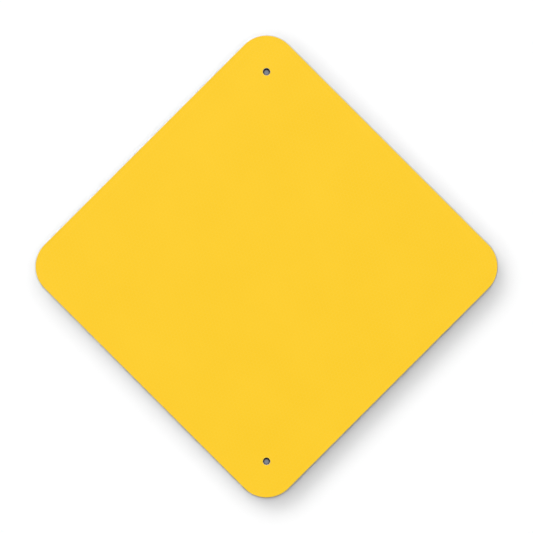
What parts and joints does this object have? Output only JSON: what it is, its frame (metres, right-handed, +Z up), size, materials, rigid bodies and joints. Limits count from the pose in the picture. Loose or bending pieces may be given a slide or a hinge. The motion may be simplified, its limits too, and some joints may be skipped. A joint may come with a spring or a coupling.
{
  "type": "object marker sign",
  "caption": "Flat yellow diamond object marker: a rounded-corner aluminium blank faced with retroreflective sheeting, with bolt holes at the top and bottom corners.",
  "frame": {"origin": "middle of the blank's back face, halfway between the two bolt holes", "axes": "+Z up the sign through both bolt holes, the yellow face looks along -Y, +Y is out of the back"},
  "size_m": [0.6116, 0.0024, 0.6116],
  "materials": {
    "aluminium": "mill",
    "adhesive": "clear",
    "seal_film": "matte",
    "prism_film": "gloss",
    "yellow_film": "satin"
  },
  "bodies": {
    "root": {"aluminium_blank": "aluminium", "adhesive_layer": "adhesive", "seal_film": "seal_film", "prism_film": "prism_film", "face_film": "yellow_film"}
  },
  "joints": []
}
